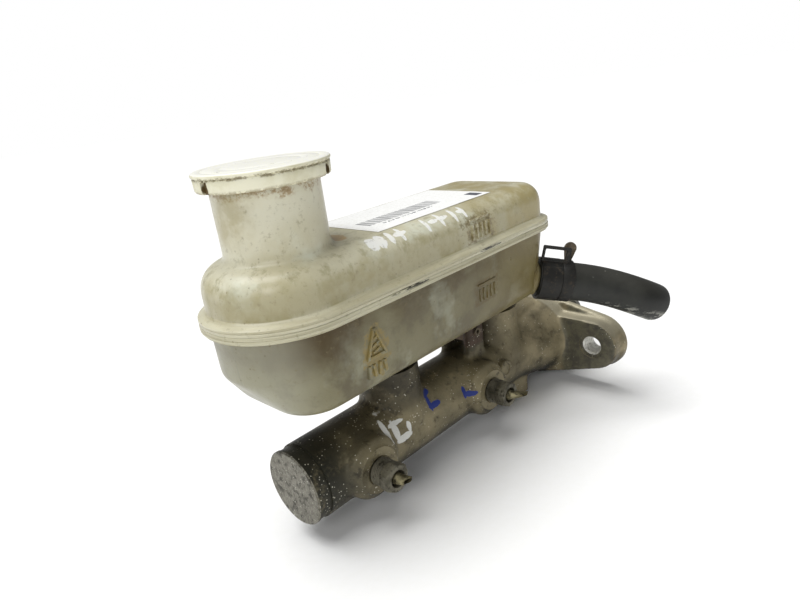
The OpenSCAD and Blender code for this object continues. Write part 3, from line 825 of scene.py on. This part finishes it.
def cast_body(skins):
    casting = rough_casting()
    slice_off(casting, (-173.5, 0, 0), (-1, 0, 0))
    slice_off(casting, (0, 0, 0), (1, 0, 0))
    nose = turned("X", [(15.3, -180), (15.9, -179.4), (15.9, -178.4), (15.5, -178.2), (15.5, -172)], sides=96)
    spigot = turned("X", [(18.9, -1.5), (19, 2), (16.6, 2.1), (16.6, 5.6), (19, 5.7), (19, 15), (18.2, 16)],
                    sides=96)
    pad = turned("-Y", [(4.8, 8), (4.6, 17.0), (4.1, 17.5), (2.9, 17.5), (2.6, 17.1), (1, 17.1)], PAD_AT)
    combine(casting, [nose, spigot, pad], "UNION")
    cuts = [bar("X", -170, 20, BORE_R), bar("X", -2, 20, 12.5), bar("X", 13.2, 14.6, 13.5)]
    for x in TOWERS:
        cuts.append(bar("Z", TOWER_TOP, TOWER_TOP + 8, 16, (x, 0)))
        cuts.append(turned("Z", [(9.5, 20), (9.5, 29.3), (10.2, 30.2)], (x, 0)))
    for x in PORTS:
        cuts.append(bar("-Y", BOSS_FACE, BOSS_FACE + 8, 12, (x, 0)))
        cuts.append(turned("-Y", [(5.02, 11.5), (5.02, 19.8), (6.2, 20.2), (6.4, 21.2)], (x, 0)))
    for side in (-1, 1):
        cuts.append(turned("X", [(7, -16), (7, -10.4), (5.2, -10.3), (STUD_R, -9.4), (STUD_R, -0.5), (5, 1)],
                           (side * STUD_Y, 0)))
    cuts.append(bar("Y", 10, 21, 2.97, (STOP_BOLT_X, 0)))
    cuts.append(bar("Y", 20, 26, 9, (STOP_BOLT_X, 0)))
    cuts.append(bar("Y", -14, 14, PIN_R, (LUG_X, LUG_Z), sides=32))
    combine(casting, cuts, "DIFFERENCE")
    obj = finished(casting, "cast_body", "body", skins["cast"], ["cylinder_body"], 28)
    obj.data.materials.append(skins["machined"])
    obj.data.materials.append(skins["painted_light_cut"])
    for face in obj.data.polygons:
        face.material_index = cut_kind(face.center / MM, face.normal)
    return obj


def cut_kind(at, normal):
    """1 on the closed end's face, the spigot and the bore, 2 on the stud holes, which carry a brighter copy
    of the machined finish as painted light, else 0.
    """
    if at.x < -179.3 or at.x > 0.3:
        return 1
    from_bore = math.hypot(at.y, at.z)
    if from_bore < 13.6 and normal.x * normal.x < 0.9 and at.x > -172:
        return 1 if from_bore < 10.4 or at.x > -2.2 else 0
    from_stud = math.hypot(abs(at.y) - STUD_Y, at.z)
    return 2 if at.x > -10.5 and from_stud < 5.8 else 0


# ---- Outlet hardware ----

def outlet_nuts(skins):
    hex_r = 11 / 2 / math.cos(math.pi / 6)
    nuts = []
    for x in PORTS:
        steps = [(4.9, 15.6), (5.0, 20.7), (5.4, 20.8)]
        for i in range(5):
            h = 21.0 + 0.92 * i
            steps += [(5.75, h), (5.75, h + 0.3), (5.25, h + 0.52), (5.25, h + 0.7)]
        steps += [(5.5, HEX_FROM), (5.6, HEX_FROM + 1)]
        collar = turned("-Y", steps, (x, 0))
        hexagon = bar("-Y", HEX_FROM, NUT_END, hex_r, (x, 0), sides=6)
        envelope = turned("-Y", [(5.7, 25.5), (6.4, 26.1), (6.4, 29.5), (5.3, 30.5)], (x, 0))
        combine(hexagon, [envelope], "INTERSECT")
        combine(collar, [hexagon], "UNION")
        combine(collar, [turned("-Y", [(2.5, 15), (2.5, 27.4), (3.4, 27.5), (3.4, 29.8), (3.9, 31)],
                                (x, 0), sides=40)], "DIFFERENCE")
        nuts.append(bevelled(collar, 0.12, 2, 40))
    return finished(join(nuts), "outlet_nuts_worn", "body", skins["zinc"], ["outlet_nuts"])


def pipe_stub(x, tail, lean, rise):
    """Snapped pipe: a round stub whose end was bitten flat and torn to one side."""
    stub = turned("-Y", [(2.3, 15.6), (2.38, 16)] + [(2.38, h) for h in (24, 28, 30, 31.4)]
                  + [(2.36, 32.4), (2.1, 32.5), (1.7, 32.3), (1.5, 31.2)], (x, 0), sides=32)
    for vertex in stub.data.vertices:
        out = -vertex.co.y / MM - NUT_END
        if out > 0:
            share = min(1.0, out / 2.0)
            side = vertex.co.x / MM - x
            up = vertex.co.z / MM
            jag = 0.35 * math.sin(3 * math.atan2(up, side) + x)
            vertex.co.x = (x + side * (1 + 0.3 * share) + lean * share * share) * MM
            vertex.co.z = up * (1 - 0.62 * share) * MM + rise * share * share * MM
            vertex.co.y -= (tail * share * share + jag * share) * MM
    return stub


def pipe_stubs(skins):
    stubs = [pipe_stub(PORTS[0], 2.2, 1.0, 0.2), pipe_stub(PORTS[1], 3.4, 4.4, 0.0)]
    return finished(join(stubs), "pipe_stubs_crushed", "body", skins["pipe"], ["pipe_stubs"], 45)


# ---- Reservoir ----

def corners(left, right, half, r_left, r_right):
    found = [(left + r_left, side * (half - r_left), r_left) for side in (-1, 1)]
    return found + [(right - r_right, side * (half - r_right), r_right) for side in (-1, 1)]


RIM_CORNERS = corners(TANK_LEFT, TANK_RIGHT, TANK_HALF, 27.5, 11)
KNEE_CORNERS = corners(KNEE_LEFT, TANK_RIGHT - 1.6, SIDE_WALL, 25.7, 14)
FLOOR_CORNERS = corners(FLOOR_LEFT, FLOOR_RIGHT, SIDE_WALL, 17.5, 13)


def posts(places, low, high, shrink=0.0):
    return [bar("Z", low, high, r - shrink, (x, y), sides=72) for x, y, r in places]


def round_edges(places, z, edge, shrink=0.0):
    found = []
    for x, y, r in places:
        deselect()
        bpy.ops.mesh.primitive_torus_add(
            major_radius=max(r - edge, 0.3) * MM, minor_radius=(edge - shrink) * MM,
            major_segments=72, minor_segments=32, location=Vector((x, y, z)) * MM)
        found.append(settle())
    return found


def lower_form(shrink, top):
    parts = posts(RIM_CORNERS, RIM_Z - 3, top, shrink)
    parts += posts(KNEE_CORNERS, KNEE_Z, KNEE_Z + 0.1, shrink)
    parts += round_edges(FLOOR_CORNERS, FLOOR_Z + FLOOR_ROUND, FLOOR_ROUND, shrink)
    return hull(parts)


def upper_form(shrink, bottom):
    parts = posts(RIM_CORNERS, bottom, RIM_Z + 3, shrink)
    parts += round_edges(RIM_CORNERS, TANK_TOP - TOP_ROUND, TOP_ROUND, shrink)
    return hull(parts)


def rim_band(steps):
    """Welded rim: the tank's outline drawn up through steps of height and distance from the wall."""
    z, out = steps[0]
    h = steps[1][0]
    band = hull(posts([(x, y, r + out) for x, y, r in RIM_CORNERS], z, h))
    edit_all(band)
    bpy.ops.mesh.dissolve_limited(angle_limit=math.radians(0.5))
    close_edit()
    select_faces(band, lambda centre, normal: normal.z > 0.9)
    length = TANK_RIGHT - TANK_LEFT
    middle = (TANK_RIGHT + TANK_LEFT) / 2
    for h_next, out_next in steps[2:]:
        bpy.ops.mesh.extrude_region_move(TRANSFORM_OT_translate={"value": (0, 0, (h_next - h) * MM)})
        bpy.ops.transform.resize(
            value=((length + 2 * out_next) / (length + 2 * out),
                   (TANK_HALF + out_next) / (TANK_HALF + out), 1),
            center_override=(middle * MM, 0, h_next * MM))
        h, out = h_next, out_next
    close_edit()
    return outward(band)


def tank_upper(skins):
    tank = join([upper_form(0, RIM_Z - 3), bar("Z", 84, NECK_TOP + 3, NECK_R + 0.15, (NECK_X, 0), sides=96),
                 bar("Z", 88, 94.5, 22, (NECK_X, 0), r_end=NECK_R)])
    moulded(tank, 12)
    slice_off(tank, (0, 0, RIM_Z), (0, 0, -1))
    slice_off(tank, (0, 0, NECK_TOP), (0, 0, 1))
    rim = rim_band([(73.05, 3.0), (73.3, 3.2), (74.2, 3.2), (74.28, 3.08), (74.38, 3.08), (74.46, 3.2),
                    (75.1, 3.12), (75.5, 2.5), (75.8, 1.8), (76.1, 1.2), (76.5, 0.6), (77.0, 0.1),
                    (77.4, -0.3)])
    combine(tank, [rim], "UNION")
    combine(tank, [upper_form(TANK_WALL, RIM_Z - 4),
                   bar("Z", 80, NECK_TOP + 4, NECK_R - 2.2, (NECK_X, 0), sides=96)], "DIFFERENCE")
    return finished(tank, "tank_upper_shell", "body", skins["tank_upper"], ["reservoir_upper"],
                    35)


def hose_turn():
    """Place of the hose's start, with local X along the hose."""
    yaw = Matrix.Rotation(math.radians(-45), 4, "Z")
    dip = Matrix.Rotation(math.radians(14), 4, "Y")
    return Matrix.Translation(Vector((-37.5, -23.1, 45)) * MM) @ yaw @ dip


def onto_hose(obj):
    """Moves a piece made about the X axis onto the hose's start."""
    pick(obj)
    obj.matrix_world = hose_turn()
    return settle()


def tank_lower(skins):
    tank = moulded(lower_form(0, RIM_Z + 2), 16)
    slice_off(tank, (0, 0, RIM_Z), (0, 0, 1))
    rim = rim_band([(70.0, 2.6), (70.4, 3.1), (70.9, 3.2), (71.6, 3.2), (71.68, 3.08), (71.78, 3.08),
                    (71.86, 3.2), (72.8, 3.18), (72.98, 3.05)])
    foot = onto_hose(bar("X", -6, -1, 8.6))
    combine(tank, [rim, foot], "UNION")
    combine(tank, [lower_form(TANK_WALL, RIM_Z + 4)], "DIFFERENCE")
    adds = []
    for x in TOWERS:
        adds.append(turned("Z", [(6, 22), (6, 33), (9, 33.1), (9, 40)], (x, 0), sides=48))
    adds.append(block((LUG_X - 4, -5.3, 22), (LUG_X + 4, 5.3, 40.5)))
    adds.append(block((LUG_X - 16, -22, 39), (LUG_X - 14, 22, 61)))
    adds.append(onto_hose(bar("X", -3, 19, SPOUT_R, sides=48)))
    combine(tank, adds, "UNION")
    cuts = [bar("Z", 20, 43, 4.2, (x, 0), sides=40) for x in TOWERS]
    cuts.append(bar("Y", -9, 9, PIN_R, (LUG_X, LUG_Z), sides=32))
    cuts.append(onto_hose(bar("X", -9, 30, 4.96, sides=40)))
    combine(tank, cuts, "DIFFERENCE")
    return finished(tank, "tank_lower_shell", "body", skins["tank_lower"], ["reservoir_lower"],
                    35)


def raised_bar(x0, x1, z0, z1, wall, proud=0.45, lean=0.0):
    """Small raised bar on the near wall of the tank."""
    obj = block((x0, -wall - proud, z0), (x1, -wall + 1.2, z1))
    if lean:
        centre = Vector(((x0 + x1) / 2, -wall, (z0 + z1) / 2)) * MM
        edit_all(obj)
        bpy.ops.transform.rotate(value=lean, orient_axis="Y", center_override=centre)
        close_edit()
    return bevelled(obj, 0.18, 2)


def level_marks(skins):
    """Plain raised bars where the fluid's highest and lowest levels are."""
    high = [raised_bar(-91, -78, 86.2, 87.1, SIDE_WALL, 0.7)]
    for i in range(5):
        x = -90.4 + 2.9 * i
        high.append(raised_bar(x, x + 1.1, 78.5, 84.8, TANK_HALF, 0.7, 0.06 * math.sin(2.2 * i)))
    finished(join(high), "level_mark_high", "body", skins["tank_upper"])
    low = [raised_bar(-89, -76.5, 57.6, 58.5, 27.4, 0.7)]
    for i in range(5):
        x = -88.2 + 2.6 * i
        low.append(raised_bar(x, x + 1.0, 50.6, 56.2, SIDE_WALL, 0.75, 0.05 * math.cos(1.7 * i)))
    finished(join(low), "level_mark_low", "body", skins["tank_lower"])


def embossed_mark(skins):
    """Generic moulded mark: an upright triangle of three bars over a row of short bars."""
    x, top, foot = -150.5, 63.0, 51.0
    parts = [raised_bar(x - 5.0, x + 5.0, foot, foot + 1.3, SIDE_WALL, 0.9)]
    lean = math.atan2(4.6, top - foot)
    for side in (-1, 1):
        middle = x + side * 2.4
        parts.append(raised_bar(middle - 0.55, middle + 0.55, foot, top, SIDE_WALL + 0.1, 1.0, side * lean))
    for i in range(3):
        rung = foot + 2.4 + 2.4 * i
        parts.append(raised_bar(x - 1.9, x + 1.9, rung, rung + 0.9, SIDE_WALL + 0.1, 0.8, 0.35))
    for i in range(4):
        left = x - 5.2 + 2.7 * i
        parts.append(raised_bar(left, left + 1.3, 43.9, 48.9, 27.05, 1.0, 0.2 * (i % 2) - 0.1))
    finished(join(parts), "moulded_mark", "body", skins["tank_lower"])


def paper_label(skins):
    low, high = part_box("paper_label")
    deselect()
    middle = ((low[0] + high[0]) / 2, (low[1] + high[1]) / 2, low[2] + 0.00008)
    bpy.ops.mesh.primitive_grid_add(x_subdivisions=40, y_subdivisions=20, size=1, location=middle)
    bpy.context.object.scale = (high[0] - low[0], high[1] - low[1], 1)
    sheet = settle()
    for vertex in sheet.data.vertices:
        x, y = vertex.co.x / MM, vertex.co.y / MM
        vertex.co.z += 0.00004 * (1 + math.sin(0.21 * x) * math.cos(0.33 * y))
    modify(sheet, "SOLIDIFY", thickness=0.00009, offset=1)
    return finished(sheet, "paper_label_sheet", "body", skins["paper"], ["paper_label"])


def screw_cap(skins):
    steps = [(22.7, 117.6), (22.95, 117.75), (23.25, 118.3), (23.4, 121.9), (23.2, 122.2), (23.1, 122.35),
             (23.55, 122.5), (23.78, 122.9), (23.78, 123.4), (23.5, 123.8), (23.0, 124.0), (20.6, 124.0),
             (20.4, 123.86), (20.1, 123.86), (19.9, 124.0), (14.2, 123.95), (14.0, 123.85), (13.7, 123.85),
             (13.5, 123.95), (6, 123.9)]
    cap = turned("Z", steps, (NECK_X, 0), sides=128)
    cuts = [bar("Z", 116, 122.2, 20.8, (NECK_X, 0), sides=96)]
    for angle in (-176.7, -56.7, 63.3):
        notch = block((22.0, -1.8, 116.6), (26, 1.8, 121.8))
        pick(notch)
        turn = Matrix.Rotation(math.radians(angle), 4, "Z")
        notch.matrix_world = Matrix.Translation((NECK_X * MM, 0, 0)) @ turn
        cuts.append(settle())
    combine(cap, cuts, "DIFFERENCE")
    return finished(cap, "screw_cap", "cap", skins["cap"], ["filler_cap"], 40)


# ---- Hose and clamp ----

def hose_stations():
    """Centre line of the hose as points, in the hose's own axes."""
    roll, wide, tight = math.radians(29), math.radians(18), math.radians(43.2)
    end_roll = math.radians(135)
    wide_r, tight_r = 84, 20
    points = [Vector((x, 0, 0)) for x in (0, 7, 14, 20)]
    along = Vector((1, 0, 0))
    across = Vector((0, -math.cos(roll), -math.sin(roll)))
    start = points[-1]
    for i in range(1, 9):
        a = wide * i / 8
        points.append(start + wide_r * math.sin(a) * along + wide_r * (1 - math.cos(a)) * across)
    heading = math.cos(wide) * along + math.sin(wide) * across
    normal = math.cos(wide) * across - math.sin(wide) * along
    across = math.cos(end_roll) * normal + math.sin(end_roll) * heading.cross(normal)
    start = points[-1]
    for i in range(1, 13):
        a = tight * i / 12
        points.append(start + tight_r * math.sin(a) * heading + tight_r * (1 - math.cos(a)) * across)
    return points


def feed_hose(skins):
    line = bpy.data.curves.new("hose_line", "CURVE")
    line.dimensions = "3D"
    line.bevel_depth = HOSE_R * MM
    line.bevel_resolution = 14
    line.use_fill_caps = False
    spline = line.splines.new("POLY")
    points = hose_stations()
    spline.points.add(len(points) - 1)
    for point, place in zip(spline.points, points):
        point.co = (*(place * MM), 1)
    obj = bpy.data.objects.new("hose", line)
    bpy.context.scene.collection.objects.link(obj)
    pick(obj)
    bpy.ops.object.convert(target="MESH")
    obj = bpy.context.object
    onto_hose(obj)
    outward(obj)
    modify(obj, "SOLIDIFY", thickness=HOSE_WALL * MM, offset=-1)
    bevelled(obj, 0.5, 3, 50)
    return finished(obj, "feed_hose_rubber", "body", skins["hose"], ["feed_hose"], 50)


def hose_clamp(skins):
    inner = CLAMP_BORE_R
    band = bar("X", 0.5, 10.2, inner + 1.15, sides=96)
    fork = bar("X", 10.6, 16.5, inner + 1.05, sides=96)
    link = bar("X", 10.0, 10.8, inner + 0.7, sides=96)
    for piece in (band, fork, link):
        combine(piece, [bar("X", -1, 20, inner, sides=96)], "DIFFERENCE")
    window = block((-0.2, -3.75, inner - 0.2), (13.6, -2.25, inner + 7.9))
    combine(window, [block((1.2, -5, inner + 1.4), (11.4, -1, inner + 6.4))], "DIFFERENCE")
    bevelled(window, 0.6, 4)
    tongue = join([block((13.4, 3, inner - 0.2), (16.4, 4.2, inner + 4.6)),
                   bar("Y", 3.001, 4.199, 3.0, (15, inner + 6.4), sides=40)])
    tongue = hull([tongue])
    bevelled(tongue, 0.35, 3)
    combine(band, [link], "UNION")
    pieces = [onto_hose(p) for p in (bevelled(band, 0.25, 2, 40), bevelled(fork, 0.25, 2, 40), window)]
    finished(join(pieces), "clamp_band", "body", skins["spring_steel"], ["hose_clamp"], 40)
    onto_hose(tongue)
    finished(tongue, "clamp_tongue", "body", skins["rusty"], angle=40)


# ---- Springs inside the bore ----

def return_spring(name, start, end, turns, body, skins, node):
    wire, mean = 1.1, 6.3
    deselect()
    bpy.ops.mesh.primitive_circle_add(vertices=16, radius=wire * MM, location=(mean * MM, 0, 0),
                                      rotation=(math.pi / 2, 0, 0))
    coil = settle()
    travel = end - start - 2 * wire
    modify(coil, "SCREW", axis="Z", angle=2 * math.pi * turns, screw_offset=travel * MM,
           steps=int(32 * turns), render_steps=int(32 * turns), use_merge_vertices=False)
    edit_all(coil)
    bpy.ops.mesh.fill_holes(sides=0)
    bpy.ops.mesh.normals_make_consistent(inside=False)
    close_edit()
    coil.rotation_euler = TURN["X"]
    coil.location = ((start + wire) * MM, 0, 0)
    settle()
    finished(coil, name, body, skins["spring"], [node], 60)
    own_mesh(coil)


# ---- CAD pieces that keep their shape ----

KEPT = {
    "bolt": ["stop_bolt", "circlip", "stop_washer"],
    "rusty": ["reservoir_pin"],
    "brass": ["flare_seats"],
    "rubber": ["inlet_grommets", "flange_o_ring", "vacuum_seal", "secondary_cup", "secondary_rear_cups",
               "primary_cup", "primary_rear_cup", "cap_seal"],
    "piston": ["secondary_piston", "primary_piston"],
    "nylon": ["piston_guide", "strainer"],
    "bolt_bright": ["spring_seat", "spring_bolt"],
}


def dress_kept(skins):
    for skin, names in KEPT.items():
        for name in names:
            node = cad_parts[name]
            node.data.materials.clear()
            node.data.materials.append(skins[skin])
            smooth(node, 35)


# ---- Assembly ----

studio()
skins = {
    "cast": cast_finish(),
    "machined": machined_finish(),
    "tank_upper": tank_finish("aged_tank_upper", True),
    "tank_lower": tank_finish("aged_tank_lower", False),
    "cap": cap_finish(),
    "zinc": metal_finish("dull_zinc_steel", "#736f60", "#4c493c", "#2a271b", 0.5, 0.6),
    "pipe": metal_finish("olive_pipe", "#8b8466", "#57513a", "#262318", 0.45, 0.7, 1.6),
    "spring_steel": metal_finish("black_spring_steel", "#23221f", "#171613", "#3a332a", 0.5, 0.4),
    "rusty": metal_finish("browned_steel", "#6d6352", "#4d4335", "#7e715c", 0.7, 0.3),
    "spring": metal_finish("bright_spring_wire", "#a4a39c", "#7d7c76", "#4c4a42", 0.3, 0.9),
    "bolt": metal_finish("plated_steel", "#8f8c80", "#66635a", "#3b382e", 0.4, 0.85),
    "bolt_bright": metal_finish("bright_steel", "#a9a79f", "#86847c", "#5c5a52", 0.3, 0.9),
    # brighter copy of the machined finish: painted light for the stud holes, which sit in shade
    "painted_light_cut": metal_finish("fresh_cut_aluminium", "#e6e5de", "#c9c7bd", "#8b887c", 0.35, 0.25, 1.6),
    "brass": metal_finish("brass_seat", "#b9985a", "#8f713a", "#4f4023", 0.35, 0.9),
    "piston": metal_finish("anodised_piston", "#b3b1a8", "#9b998f", "#6e6c64", 0.3, 0.85, 4),
    "rubber": rubber_finish(),
    "hose": hose_finish(),
    "nylon": plain_plastic("white_nylon", "#dcd8c6", "#c3bda4"),
    "paper": paper_finish(),
}
cast_body(skins)
outlet_nuts(skins)
pipe_stubs(skins)
tank_lower(skins)
tank_upper(skins)
level_marks(skins)
embossed_mark(skins)
paper_label(skins)
screw_cap(skins)
feed_hose(skins)
hose_clamp(skins)
return_spring("secondary_coil", -169.9, -124.2, 8.5, "body", skins,
              "secondary_spring")
return_spring("primary_coil", -83.95, -54.1, 5.5, "secondary", skins,
              "primary_spring")
dress_kept(skins)
